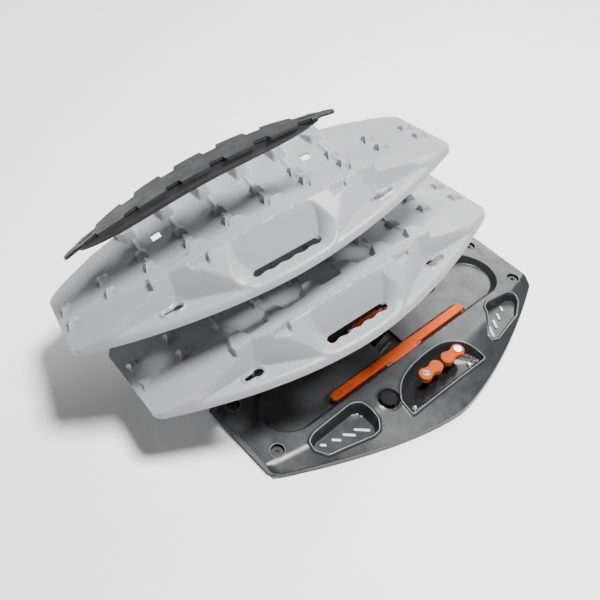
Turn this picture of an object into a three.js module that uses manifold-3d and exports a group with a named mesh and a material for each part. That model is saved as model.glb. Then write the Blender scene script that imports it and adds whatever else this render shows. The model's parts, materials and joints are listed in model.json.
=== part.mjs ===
// Tire traction mat kit: two nesting traction boards and a slim top plate, fanned out above
// the carrier base they lock onto.  Millimetres, +Z up, origin on the ground under the base.
import * as THREE from 'three';
import Module from 'manifold-3d';
import { mergeVertices } from 'three/addons/utils/BufferGeometryUtils.js';

const wasm = await Module();
wasm.setup();

// ---- shared sizes -----------------------------------------------------------------------
const HALF_LENGTH = 360; // boards and base
const GAP = 0.3; // clearance between touching pieces
const THROUGH = { low: -120, high: 100 }; // reach of a cut that goes right through

// ---- traction board ---------------------------------------------------------------------
const BOARD_END_HALF = 92;
const BOARD_BULGE = 102;
const BOARD_RIM_POWER = 1.83;
const BOARD_WALL = 5;
const RIM_DROP = 5;
const LIP_WIDTH = 12;
const LIP_RISE = 16;
const SHOULDER_SLOPE = 1.1;
const CREST_HEIGHT = 68;
const CREST_FALL = 50;
const CREST_END_X = 206;
const RAMP_TOP = 40;
const CREST_Y = 98;
const TOOTH_TIP_Y = 73;
const TOOTH_PITCH = 75;
const TOOTH_STATIONS = [-2.5, -1.5, -0.5, 0.5, 1.5, 2.5];
const TOOTH_TIP_HALF = 9;
const TOOTH_ROOT_HALF = 19;
const LANE_FLOOR = 35;
const LANE_FALL = 30;
const LANE_BOWL = 14;
const FLANGE_HEIGHT = 6;
const HANDLE_TOP_Y = 129;
const HANDLE_FLOOR = { half: 68, y: 150, flare: 0.95 };
const POCKET = { inner: 173, topY: 110, floorY: 121, lean: 1.12, from: 150 };
const WALL_RUN = 4; // run of the steep walls between the lane and the crest
const ROW_SHARES = { tip: 0.5, tipWall: 0.56, crest: 0.66, crestWall: 0.72, top: 0.8, floor: 0.88 };
const END_COLUMNS = [228, 266, 308, HALF_LENGTH];
const GRIP_SLOT = { half: 63, y: 157, width: 18 };
const KEYHOLE = { x: 190, y: 132, big: 7.5, small: 4.5, reach: 14, tailShift: 8 };
const LANE_HOLE = { xs: [-150, 150], y: 50, size: 17 };

// ---- carrier base -----------------------------------------------------------------------
const BASE_END_HALF = 88;
const BASE_BULGE = 120;
const BASE_RIM_POWER = 1.52;
const PLATE_THICK = 4;
const DECK = 22;
const RIM_TOP = 12;
const RIDGE_TOP = 34;
const RIDGE_END_Y = 68;
const RIDGE_BULGE = 54;
const RIDGE_FADE = 130;
const BASE_COLUMNS = [0, 60, 120, 180, 230, 280, 325, HALF_LENGTH];
const BACKING_SHARE = { x: 0.997, y: 0.994 };
const TROUGH = { half: 310, halfWidth: 62, floor: 13 };
const BOLT = { x: 327, y: 60, head: 11, height: 5, counterbore: 13, seat: 12, hole: 5.4 };
const SHANK = { radius: 5, end: 1 };
const SOCKET = { radius: 4, floor: 2 };
const WASHER = { radius: 11.8, thick: 1.6 };
const CORNERS = [['near_left', -1, -1], ['near_right', 1, -1], ['far_left', -1, 1], ['far_right', 1, 1]];
const OPENING = { halfX: 27, halfY: 25 };
const BAY = { left: -88, right: 116, flatY: -158, topY: -84, floor: 9, shoulder: 12, lift: 30 };
const BAY_REACH = { right: 6, rightTop: 46, middle: 76, leftTop: 56, left: 22 };
const PANEL_THICK = 3;
const PANEL_INSET = 5;
const POCKET_FLOOR = 10;
const LONG_POCKET = [
  [-276, 84], [-262, 78], [-168, 76], [-150, 84], [-148, 128], [-160, 142], [-262, 118], [-278, 98],
];
const SHORT_POCKET = [
  [-288, 88], [-276, 80], [-218, 74], [-206, 82], [-162, 132], [-172, 142], [-256, 124], [-288, 100],
];
const CAP = { x: -104, y: -110, recess: 21, recessFloor: 18, radius: 16, height: 13, lift: 3 };
const CAP_HOLLOW = { radius: 9.4, depth: 8 };
const PORT = { hole: 8, neck: 7.7, flange: 9, bore: 5, low: 5, height: 10, seal: 14, sealThick: 2.2 };
const KNOB = { xs: [-4, 57], y: -120, lobe: 13.5, span: 29, waist: 7, bottom: 33, thick: 14, lean: 0.36 };
const POST = { hole: 9, shaft: 8, spigot: 4, low: 5, height: 4 };
const KEY = { radius: 7.4, proud: 1.5, depth: 9, slot: 7, slotWidth: 1.6, slotDepth: 3 };
const SCREW = { xs: [-70, 86], y: -147, head: 5.5, rim: 1, cheek: 2.4, crown: 2.8, shank: 2, holeLow: 6 };
const CROSS = { length: 5, width: 1, floor: 1.6 };
const BAR = { half: 181, y: 42, halfWidth: 9, thick: 10, bottom: 16.5, step: 7, stepHalf: 38 };
const PIN = { radius: 3, half: 47, inset: 4.5 };
const EAR = { thick: 8, width: 11, y: 61, root: 2 };

// ---- top plate --------------------------------------------------------------------------
const TOP_HALF = 240;
const TOP_HALF_WIDTH = 51;
const TOP_ARCH = 29.5;
const TOP_THICK = 5;
const PLATE_COLUMNS = [0, 40, 80, 120, 160, 200, 225, TOP_HALF];
const LENS_TIP = 0.1;
const BELLY = { half: 212, halfWidth: 33, depth: 24, drop: 1.2, lens: 1.08, taper: 1.05, tip: 0.12 };
const BELLY_COLUMNS = [0, 50, 100, 140, 180, BELLY.half];
const TIP_SLOT = { x: 196, length: 26, width: 5 };
const NOTCH = { depth: 20, wide: 30, narrow: 18, share: 0.35 };

// ---- how the raised pieces fan out: each turns about a distant pole axis --------------------
const FAN = {
  board_lower: { axis: [-0.7345, -0.5146, -0.4423], degrees: 15.038, lift: [-117.7, 119, 142.1] },
  board_upper: { axis: [-0.7906, -0.3065, -0.5301], degrees: 12.787, lift: [-51.5, 58.7, 128.1] },
  top_plate: { axis: [-0.73, -0.3469, -0.5889], degrees: 12.335, lift: [-63.7, -47, 166.6] },
};

// ---- materials --------------------------------------------------------------------------
const FINISH = {
  board: { color: 0xc9cace, roughness: 0.5, metalness: 0 },
  tray: { color: 0x3b3d40, roughness: 0.42, metalness: 0 },
  black: { color: 0x0e0f10, roughness: 0.3, metalness: 0 },
  orange: { color: 0xf26a0c, roughness: 0.4, metalness: 0 },
  chrome: { color: 0xd8dadd, roughness: 0.18, metalness: 1 },
  plate: { color: 0x55585b, roughness: 0.5, metalness: 0 },
  rubber: { color: 0x151515, roughness: 0.8, metalness: 0 },
};

// ---- solids -----------------------------------------------------------------------------
function toSolid(geometry) {
  const bare = geometry.clone();
  for (const name of Object.keys(bare.attributes)) {
    if (name !== 'position') bare.deleteAttribute(name);
  }
  const merged = mergeVertices(bare, 1e-4);
  return new wasm.Manifold(new wasm.Mesh({
    numProp: 3,
    vertProperties: new Float32Array(merged.attributes.position.array),
    triVerts: new Uint32Array(merged.index.array),
  }));
}

function toGeometry(solid) {
  const mesh = solid.getMesh();
  const geometry = new THREE.BufferGeometry();
  geometry.setAttribute('position', new THREE.BufferAttribute(mesh.vertProperties, 3));
  geometry.setIndex(new THREE.BufferAttribute(mesh.triVerts, 1));
  geometry.computeVertexNormals();
  return geometry;
}

// A flat shape raised from z = low to z = high.
function prism(shape, low, high, curveSegments = 6) {
  const geometry = new THREE.ExtrudeGeometry(shape, {
    depth: high - low, bevelEnabled: false, curveSegments,
  });
  return toSolid(geometry.translate(0, 0, low));
}

// A flat shape carried right through whatever it is cut from.
function throughCut(shape, curveSegments = 6) {
  return prism(shape, THROUGH.low, THROUGH.high, curveSegments);
}

function hole(radius, x, y, low = THROUGH.low, sides = 20) {
  return drum(radius, low, THROUGH.high, x, y, sides);
}

function drum(radius, low, high, x = 0, y = 0, sides = 20) {
  const geometry = new THREE.CylinderGeometry(radius, radius, high - low, sides);
  return toSolid(geometry.rotateX(Math.PI / 2).translate(x, y, (low + high) / 2));
}

function block(width, depth, low, high, x = 0, y = 0) {
  const geometry = new THREE.BoxGeometry(width, depth, high - low);
  return toSolid(geometry.translate(x, y, (low + high) / 2));
}

function polygon(points) {
  return new THREE.Shape(points.map(([x, y]) => new THREE.Vector2(x, y)));
}

// A slot outline with round ends, centred on (x, y) and lying along X.
function slotShape(halfLength, halfWidth, x = 0, y = 0) {
  const straight = halfLength - halfWidth;
  const shape = new THREE.Shape();
  shape.absarc(x + straight, y, halfWidth, -Math.PI / 2, Math.PI / 2, false);
  shape.absarc(x - straight, y, halfWidth, Math.PI / 2, Math.PI * 1.5, false);
  return shape;
}

// A sheet on a grid of stations: columns give x, rows give y as a function of x, and top and
// bottom give the heights of the two faces at (x, y).
function sheet(columns, rows, top, bottom) {
  const geometry = new THREE.BoxGeometry(2, 2, 2, columns.length - 1, rows.length - 1, 1);
  const position = geometry.attributes.position;
  for (let i = 0; i < position.count; i += 1) {
    const column = Math.round((position.getX(i) + 1) / 2 * (columns.length - 1));
    const row = Math.round((position.getY(i) + 1) / 2 * (rows.length - 1));
    const x = columns[column];
    const y = rows[row](x);
    const face = position.getZ(i) > 0 ? top : bottom;
    position.setXYZ(i, x, y, face(x, y));
  }
  return toSolid(geometry);
}

function mirrored(values) {
  return [...values.filter((v) => v > 0).map((v) => -v).reverse(), ...values];
}

function mirroredRows(rows) {
  const near = rows.slice(1).reverse().map((row) => (x) => -row(x));
  return [...near, ...rows];
}

// ---- traction board ---------------------------------------------------------------------
function boardRim(x) {
  return BOARD_END_HALF + BOARD_BULGE * (1 - Math.abs(x / HALF_LENGTH) ** BOARD_RIM_POWER);
}

// How far the crest stands in from the centre line: it zigzags round the teeth.
function crestLine(x) {
  const offsets = TOOTH_STATIONS.map((s) => Math.abs(x - s * TOOTH_PITCH));
  const nearest = Math.min(...offsets);
  const blend = (nearest - TOOTH_TIP_HALF) / (TOOTH_ROOT_HALF - TOOTH_TIP_HALF);
  return TOOTH_TIP_Y + (CREST_Y - TOOTH_TIP_Y) * THREE.MathUtils.clamp(blend, 0, 1);
}

function crestHeight(x) {
  const distance = Math.abs(x);
  if (distance <= CREST_END_X) return CREST_HEIGHT - CREST_FALL * (x / HALF_LENGTH) ** 2;
  return RAMP_TOP * (HALF_LENGTH - distance) / (HALF_LENGTH - CREST_END_X);
}

function flangeHeight(inset) {
  return -RIM_DROP + (FLANGE_HEIGHT + RIM_DROP) * Math.min(inset / LIP_WIDTH, 1);
}

function boardTop(x, y) {
  const distance = Math.abs(x);
  const side = Math.abs(y);
  const inset = boardRim(x) - side;
  const crest = crestHeight(x);
  const bowl = LANE_BOWL * (side / TOOTH_PITCH) ** 2;
  const lane = LANE_FLOOR - LANE_FALL * (x / HALF_LENGTH) ** 2 + bowl;
  if (side < crestLine(x) - 1) return Math.min(lane, crest);
  const lip = -RIM_DROP + (LIP_RISE + RIM_DROP) * Math.min(inset / LIP_WIDTH, 1);
  const shoulder = lip + SHOULDER_SLOPE * Math.max(inset - LIP_WIDTH, 0);
  const flank = Math.min(shoulder, crest);
  const inHandle = side > HANDLE_TOP_Y + 1
    && distance < HANDLE_FLOOR.half + (side - HANDLE_FLOOR.y) * HANDLE_FLOOR.flare;
  const inPocket = side > POCKET.topY + 1
    && distance > POCKET.inner - (side - POCKET.topY) * POCKET.lean;
  return inHandle || inPocket ? Math.min(flank, flangeHeight(inset)) : flank;
}

function boardRows() {
  const limit = (value, share) => (x) => Math.min(value, boardRim(x) * share);
  const beyond = (x) => Math.abs(x) > POCKET.from;
  const recessTop = (x) => (beyond(x) ? POCKET.topY : HANDLE_TOP_Y);
  const recessFloor = (x) => (beyond(x) ? POCKET.floorY : HANDLE_FLOOR.y);
  return mirroredRows([
    () => 0,
    limit(TOOTH_TIP_Y - WALL_RUN, ROW_SHARES.tip),
    limit(TOOTH_TIP_Y, ROW_SHARES.tipWall),
    limit(CREST_Y - WALL_RUN, ROW_SHARES.crest),
    limit(CREST_Y, ROW_SHARES.crestWall),
    (x) => Math.min(recessTop(x), boardRim(x) * ROW_SHARES.top),
    (x) => Math.min(recessFloor(x), boardRim(x) * ROW_SHARES.floor),
    (x) => boardRim(x) - LIP_WIDTH,
    (x) => boardRim(x),
  ]);
}

function boardColumns() {
  const teeth = TOOTH_STATIONS.filter((s) => s > 0).flatMap((s) => [
    s * TOOTH_PITCH - TOOTH_ROOT_HALF, s * TOOTH_PITCH - TOOTH_TIP_HALF,
    s * TOOTH_PITCH + TOOTH_TIP_HALF, s * TOOTH_PITCH + TOOTH_ROOT_HALF,
  ]);
  return mirrored([...teeth, ...END_COLUMNS]);
}

function keyholeCutter(side, end) {
  const y = side * KEYHOLE.y;
  const big = drum(KEYHOLE.big, THROUGH.low, THROUGH.high, end * KEYHOLE.x, y, 12);
  const tail = slotShape(KEYHOLE.reach, KEYHOLE.small, end * (KEYHOLE.x + KEYHOLE.tailShift), y);
  return big.add(throughCut(tail, 4));
}

function boardSolid() {
  let board = sheet(boardColumns(), boardRows(), boardTop, (x, y) => boardTop(x, y) - BOARD_WALL);
  for (const side of [-1, 1]) {
    const slot = slotShape(GRIP_SLOT.half, GRIP_SLOT.width / 2, 0, side * GRIP_SLOT.y);
    board = board.subtract(throughCut(slot));
    for (const end of [-1, 1]) board = board.subtract(keyholeCutter(side, end));
  }
  const { xs, y, size } = LANE_HOLE;
  for (const x of xs) {
    board = board.subtract(block(size, size, THROUGH.low, THROUGH.high, x, y));
  }
  return board;
}

// ---- carrier base -----------------------------------------------------------------------
function baseRim(x) {
  return BASE_END_HALF + BASE_BULGE * (1 - Math.abs(x / HALF_LENGTH) ** BASE_RIM_POWER);
}

function ridgeLine(x) {
  return RIDGE_END_Y + RIDGE_BULGE * (1 - (x / HALF_LENGTH) ** 2);
}

function baseTop(x, y) {
  const side = Math.abs(y);
  const ridge = ridgeLine(x);
  const rim = baseRim(x);
  const fade = THREE.MathUtils.clamp((HALF_LENGTH - Math.abs(x)) / RIDGE_FADE, 0, 1);
  const crown = DECK + (RIDGE_TOP - DECK) * fade;
  if (side <= ridge) return crown;
  return THREE.MathUtils.lerp(crown, RIM_TOP, (side - ridge) / (rim - ridge));
}

function baseOutline() {
  const columns = mirrored(BASE_COLUMNS);
  const near = columns.map((x) => [x, -baseRim(x)]);
  return [...near, ...columns.map((x) => [x, baseRim(x)]).reverse()];
}

function pocketShape(end, side) {
  const outline = end * side > 0 ? LONG_POCKET : SHORT_POCKET;
  return polygon(outline.map(([x, y]) => [end * x * -1, side * y]));
}

function bayShape(inset = 0) {
  const shape = new THREE.Shape();
  const left = BAY.left + inset;
  const right = BAY.right - inset;
  const flat = BAY.flatY + inset;
  const top = BAY.topY - inset;
  shape.moveTo(left, flat);
  shape.lineTo(right, flat);
  const low = top - BAY.shoulder;
  const middle = right - BAY_REACH.middle;
  shape.bezierCurveTo(right - BAY_REACH.right, low, right - BAY_REACH.rightTop, top, middle, top);
  shape.bezierCurveTo(left + BAY_REACH.leftTop, top, left + BAY_REACH.left, low, left, flat + BAY.lift);
  return shape;
}

function traySolid() {
  const rows = mirroredRows([() => 0, ridgeLine, baseRim]);
  const underside = PLATE_THICK + GAP;
  const earX = BAR.stepHalf + EAR.thick / 2 + 1;
  const earTop = BAR.bottom + BAR.thick;
  let tray = sheet(mirrored(BASE_COLUMNS), rows, baseTop, () => underside);
  tray = tray.subtract(prism(slotShape(TROUGH.half, TROUGH.halfWidth), TROUGH.floor, THROUGH.high));
  for (const side of [-1, 1]) {
    for (const end of [-1, 1]) {
      const y = side * EAR.y;
      tray = tray.add(block(EAR.thick, EAR.width, TROUGH.floor - EAR.root, earTop, end * earX, y));
      tray = tray.subtract(prism(pocketShape(end, side), POCKET_FLOOR, THROUGH.high));
    }
    tray = tray.subtract(pinAlong(PIN.radius + GAP, PIN.half + GAP, side));
  }
  for (const [x, y] of CORNERS.map(([, sx, sy]) => [sx * BOLT.x, sy * BOLT.y])) {
    tray = tray.subtract(hole(BOLT.counterbore, x, y, BOLT.seat, 24));
    tray = tray.subtract(hole(BOLT.hole, x, y, THROUGH.low, 16));
  }
  tray = tray.subtract(prism(bayShape(), BAY.floor, THROUGH.high));
  tray = tray.subtract(hole(CAP.recess, CAP.x, CAP.y, CAP.recessFloor, 28));
  tray = tray.subtract(hole(PORT.hole, CAP.x, CAP.y));
  tray = tray.subtract(block(OPENING.halfX * 2, OPENING.halfY * 2, THROUGH.low, THROUGH.high));
  for (const x of KNOB.xs) tray = tray.subtract(hole(POST.hole, x, KNOB.y));
  for (const x of SCREW.xs) {
    tray = tray.subtract(hole(SCREW.shank + GAP, x, SCREW.y, SCREW.holeLow, 12));
  }
  return tray;
}

function backingSolid() {
  const outline = baseOutline().map(([x, y]) => [x * BACKING_SHARE.x, y * BACKING_SHARE.y]);
  let plate = prism(polygon(outline), 0, PLATE_THICK);
  for (const [, sx, sy] of CORNERS) {
    plate = plate.subtract(hole(BOLT.hole, sx * BOLT.x, sy * BOLT.y, THROUGH.low, 16));
  }
  return plate;
}

// ---- fittings on the base ---------------------------------------------------------------
function washerSolid(x, y) {
  const low = BOLT.seat + GAP;
  const disc = drum(WASHER.radius, low, low + WASHER.thick, x, y, 24);
  return disc.subtract(hole(BOLT.hole, x, y, THROUGH.low, 16));
}

function boltSolid(x, y) {
  const low = BOLT.seat + 2 * GAP + WASHER.thick;
  const head = drum(BOLT.head, low, low + BOLT.height, x, y, 20);
  const socket = hole(SOCKET.radius, x, y, low + SOCKET.floor, 6);
  return head.subtract(socket).add(drum(SHANK.radius, SHANK.end, low + 1, x, y, 16));
}

function panelSolid() {
  const low = BAY.floor + GAP;
  let panel = prism(bayShape(PANEL_INSET), low, low + PANEL_THICK);
  for (const x of KNOB.xs) panel = panel.subtract(hole(POST.hole, x, KNOB.y));
  for (const x of SCREW.xs) {
    panel = panel.subtract(hole(SCREW.shank + GAP, x, SCREW.y, THROUGH.low, 12));
  }
  return panel;
}

function screwSolid(x) {
  const low = BAY.floor + PANEL_THICK + 2 * GAP;
  const profile = [
    [0, 0], [SCREW.head, 0], [SCREW.head, SCREW.rim], [SCREW.head * 0.6, SCREW.cheek], [0, SCREW.crown],
  ].map(([radius, z]) => new THREE.Vector2(radius, z));
  const dome = new THREE.LatheGeometry(profile, 16);
  const head = toSolid(dome.rotateX(Math.PI / 2).translate(x, SCREW.y, low));
  const { length, width, floor } = CROSS;
  const cross = block(length, width, low + floor, THROUGH.high, x, SCREW.y)
    .add(block(width, length, low + floor, THROUGH.high, x, SCREW.y));
  const shank = drum(SCREW.shank, SCREW.holeLow + GAP, low + SCREW.rim / 2, x, SCREW.y, 12);
  return head.subtract(cross).add(shank);
}

function knobShape(x) {
  const half = KNOB.span / 2;
  const shape = new THREE.Shape();
  const lean = Math.PI * KNOB.lean;
  const inward = half - KNOB.lobe * Math.cos(lean);
  const outward = KNOB.lobe * Math.sin(lean);
  shape.absarc(x + half, KNOB.y, KNOB.lobe, -Math.PI + lean, Math.PI - lean, false);
  shape.quadraticCurveTo(x, KNOB.y + KNOB.waist, x - inward, KNOB.y + outward);
  shape.absarc(x - half, KNOB.y, KNOB.lobe, lean, Math.PI * 2 - lean, false);
  shape.quadraticCurveTo(x, KNOB.y - KNOB.waist, x + inward, KNOB.y - outward);
  return shape;
}

function keyX(index) {
  return KNOB.xs[index] + (index === 0 ? -1 : 1) * KNOB.span / 2;
}

function knobSolid(index) {
  const x = KNOB.xs[index];
  const top = KNOB.bottom + KNOB.thick;
  const body = prism(knobShape(x), KNOB.bottom, top, 5);
  const bore = hole(KEY.radius + GAP, keyX(index), KNOB.y, top - KEY.depth);
  const socketTop = KNOB.bottom + POST.height;
  const socket = drum(POST.spigot + GAP, THROUGH.low, socketTop, x, KNOB.y, 16);
  return body.subtract(bore).subtract(socket);
}

function postSolid(index) {
  const x = KNOB.xs[index];
  const shaft = drum(POST.shaft, POST.low, KNOB.bottom - GAP, x, KNOB.y, 20);
  const tip = KNOB.bottom + POST.height - GAP;
  return shaft.add(drum(POST.spigot, KNOB.bottom - 1, tip, x, KNOB.y, 16));
}

function keySolid(index) {
  const x = keyX(index);
  const top = KNOB.bottom + KNOB.thick + KEY.proud;
  const low = KNOB.bottom + KNOB.thick - KEY.depth + GAP;
  const slot = block(KEY.slot, KEY.slotWidth, top - KEY.slotDepth, THROUGH.high, x, KNOB.y);
  return drum(KEY.radius, low, top, x, KNOB.y, 20).subtract(slot);
}

function capSolid() {
  const low = CAP.recessFloor + CAP.lift;
  const skirt = drum(CAP.radius, low, low + CAP.height, CAP.x, CAP.y, 8);
  return skirt.subtract(drum(CAP_HOLLOW.radius, THROUGH.low, low + CAP_HOLLOW.depth, CAP.x, CAP.y, 20));
}

function sealSolid() {
  const low = CAP.recessFloor + GAP;
  const ring = drum(PORT.seal, low, low + PORT.sealThick, CAP.x, CAP.y, 24);
  return ring.subtract(hole(CAP_HOLLOW.radius, CAP.x, CAP.y));
}

function neckSolid() {
  const top = CAP.recessFloor + PORT.height;
  const ring = drum(PORT.neck, PORT.low, top, CAP.x, CAP.y, 20);
  const flange = drum(PORT.flange, CAP.recessFloor + GAP, top, CAP.x, CAP.y, 20);
  return ring.add(flange).subtract(hole(PORT.bore, CAP.x, CAP.y, THROUGH.low, 16));
}

function pinAlong(radius, half, side) {
  const geometry = new THREE.CylinderGeometry(radius, radius, half * 2, 14);
  const y = side * (BAR.y + BAR.halfWidth + BAR.step - PIN.inset);
  return toSolid(geometry.rotateZ(Math.PI / 2).translate(0, y, BAR.bottom + BAR.thick / 2));
}

function barSolid(side) {
  const high = BAR.bottom + BAR.thick;
  const rail = prism(slotShape(BAR.half, BAR.halfWidth, 0, side * BAR.y), BAR.bottom, high, 6);
  const width = BAR.halfWidth + BAR.step;
  const hub = block(BAR.stepHalf * 2, width, BAR.bottom, high, 0, side * (BAR.y + width / 2));
  return rail.add(hub).subtract(pinAlong(PIN.radius + GAP, PIN.half, side));
}

// ---- top plate --------------------------------------------------------------------------
function topHeight(x) {
  return -TOP_ARCH * (x / TOP_HALF) ** 2;
}

function lensRow(half, halfWidth, share) {
  return (x) => share * halfWidth * Math.max(1 - (x / half) ** 2, LENS_TIP);
}

function withTipSlots(solid) {
  const slots = [-TIP_SLOT.x, TIP_SLOT.x].map((x) => (
    throughCut(slotShape(TIP_SLOT.length / 2, TIP_SLOT.width / 2, x, 0), 4)));
  return solid.subtract(slots[0]).subtract(slots[1]);
}

function plateSolid() {
  const rows = [-1, 0, 1].map((share) => lensRow(TOP_HALF, TOP_HALF_WIDTH, share));
  let plate = sheet(mirrored(PLATE_COLUMNS), rows, topHeight, (x) => topHeight(x) - TOP_THICK);
  for (const side of [-1, 1]) {
    for (const station of TOOTH_STATIONS) {
      const x = station * TOOTH_PITCH;
      const edge = lensRow(TOP_HALF, TOP_HALF_WIDTH, 1)(x);
      const root = edge - Math.min(NOTCH.depth, edge * NOTCH.share);
      const mouth = edge + NOTCH.depth;
      plate = plate.subtract(throughCut(polygon([
        [x - NOTCH.wide / 2, side * mouth], [x - NOTCH.narrow / 2, side * root],
        [x + NOTCH.narrow / 2, side * root], [x + NOTCH.wide / 2, side * mouth],
      ])));
    }
  }
  return withTipSlots(plate);
}

function bellySolid() {
  const rows = [-1, 0, 1].map((share) => lensRow(BELLY.half * BELLY.lens, BELLY.halfWidth, share));
  const top = (x) => topHeight(x) - TOP_THICK - GAP - BELLY.drop;
  const taper = (x) => Math.max(1 - (x / (BELLY.half * BELLY.taper)) ** 4, BELLY.tip);
  return withTipSlots(sheet(mirrored(BELLY_COLUMNS), rows, top, (x) => top(x) - BELLY.depth * taper(x)));
}

// ---- placement --------------------------------------------------------------------------
// The raised position of one piece in the frame of the piece beneath it.
function fanMatrix({ axis, degrees, lift }) {
  const turn = new THREE.Quaternion().setFromAxisAngle(
    new THREE.Vector3(...axis).normalize(), THREE.MathUtils.degToRad(degrees),
  );
  return new THREE.Matrix4().compose(new THREE.Vector3(...lift), turn, new THREE.Vector3(1, 1, 1));
}

const kit = new THREE.Group();

function place(parent, name, solid, finish) {
  const mesh = new THREE.Mesh(toGeometry(solid), new THREE.MeshStandardMaterial(FINISH[finish]));
  mesh.name = name;
  parent.add(mesh);
}

function raisedGroup(parent, fan) {
  const group = new THREE.Group();
  group.applyMatrix4(fanMatrix(fan));
  parent.add(group);
  return group;
}

place(kit, 'backing_plate', backingSolid(), 'black');
place(kit, 'base_tray', traySolid(), 'tray');
place(kit, 'lock_panel', panelSolid(), 'black');
['left', 'right'].forEach((label, i) => {
  place(kit, `panel_screw_${label}`, screwSolid(SCREW.xs[i]), 'chrome');
});
for (const [label, sx, sy] of CORNERS) {
  place(kit, `corner_washer_${label}`, washerSolid(sx * BOLT.x, sy * BOLT.y), 'rubber');
  place(kit, `corner_bolt_${label}`, boltSolid(sx * BOLT.x, sy * BOLT.y), 'black');
}
['left', 'right'].forEach((label, i) => {
  place(kit, `knob_post_${label}`, postSolid(i), 'black');
  place(kit, `knob_${label}`, knobSolid(i), 'orange');
  place(kit, `lock_cylinder_${label}`, keySolid(i), 'chrome');
});
place(kit, 'port_neck', neckSolid(), 'black');
place(kit, 'port_seal', sealSolid(), 'rubber');
place(kit, 'port_cap', capSolid(), 'black');
[['near', -1], ['far', 1]].forEach(([label, side]) => {
  place(kit, `hinge_pin_${label}`, pinAlong(PIN.radius, PIN.half, side), 'chrome');
  place(kit, `latch_bar_${label}`, barSolid(side), 'orange');
});

const deck = new THREE.Group();
deck.position.z = DECK;
kit.add(deck);
const lowerFrame = raisedGroup(deck, FAN.board_lower);
const upperFrame = raisedGroup(lowerFrame, FAN.board_upper);
const topFrame = raisedGroup(upperFrame, FAN.top_plate);
place(lowerFrame, 'board_lower', boardSolid(), 'board');
place(upperFrame, 'board_upper', boardSolid(), 'board');
place(topFrame, 'top_plate', plateSolid(), 'plate');
place(topFrame, 'top_plate_belly', bellySolid(), 'black');

export default kit;
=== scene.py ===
"""Looks of the tire traction mat kit: two boards and a top plate fanned out above their base."""
import json
import math

import bmesh
import bpy
import numpy as np
from mathutils import Matrix, Vector


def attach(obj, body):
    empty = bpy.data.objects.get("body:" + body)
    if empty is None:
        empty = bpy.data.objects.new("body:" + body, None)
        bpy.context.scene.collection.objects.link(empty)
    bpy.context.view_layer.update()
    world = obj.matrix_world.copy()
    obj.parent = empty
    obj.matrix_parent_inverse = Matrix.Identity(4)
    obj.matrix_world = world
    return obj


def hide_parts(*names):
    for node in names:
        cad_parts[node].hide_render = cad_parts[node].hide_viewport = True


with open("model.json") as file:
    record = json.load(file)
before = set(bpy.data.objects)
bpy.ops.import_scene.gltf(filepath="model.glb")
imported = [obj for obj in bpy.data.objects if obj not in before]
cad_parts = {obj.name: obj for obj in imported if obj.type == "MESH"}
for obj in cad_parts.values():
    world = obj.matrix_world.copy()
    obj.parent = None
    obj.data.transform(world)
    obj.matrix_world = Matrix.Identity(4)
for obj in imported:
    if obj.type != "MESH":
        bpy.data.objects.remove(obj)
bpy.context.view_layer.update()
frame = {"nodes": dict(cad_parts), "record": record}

JOINTS = {joint["name"]: joint for joint in frame["record"]["behaviour"]["joints"]}
MM = 0.001

# ---- driving sizes, in millimetres, as in the CAD ---------------------------------------------
HALF = 360.0
DECK = 22.0
FAN = (  # joint, body, opening angle, height above the piece beneath when closed
    ("lower_board_fan", "lower_board", 15.038, DECK + 85.0),
    ("upper_board_fan", "upper_board", 12.787, 85.0),
    ("plate_fan", "plate", 12.335, 60.0),
)
TOOTH_STATIONS = [(i - 2.5) * 75.0 for i in range(6)]
STUD_STATIONS = [(i - 4.5) * 75.0 for i in range(10)]
STUD_ROWS = (-25.0, 23.0)
LANE_HOLE_XS = (-150.0, 150.0)
LANE_HOLE_Y = 50.0
LANE_HOLE_HALF = 8.5
KNOB_XS = (-4.0, 57.0)
KNOB_Y = -120.0
POST_HOLE = 9
BOLT_PLACES = [(x, y) for x in (-327, 327) for y in (-60, 60)]
BOLT_HOLE = 5.4
COUNTERBORE = 13
PORT_X, PORT_Y, PORT_HOLE, PORT_RECESS = -104, -110, 8, 21
SCREW_XS, SCREW_Y, SCREW_HOLE = (-70, 86), -147, 2.3
TRAY_FLOOR = 4.3  # underside of the tray, just above the backing plate
BAR_Y = 42.0
BAR_HALF_WIDTH = 9
BAR_STEP = 7
PIN_INSET = 4.5


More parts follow.
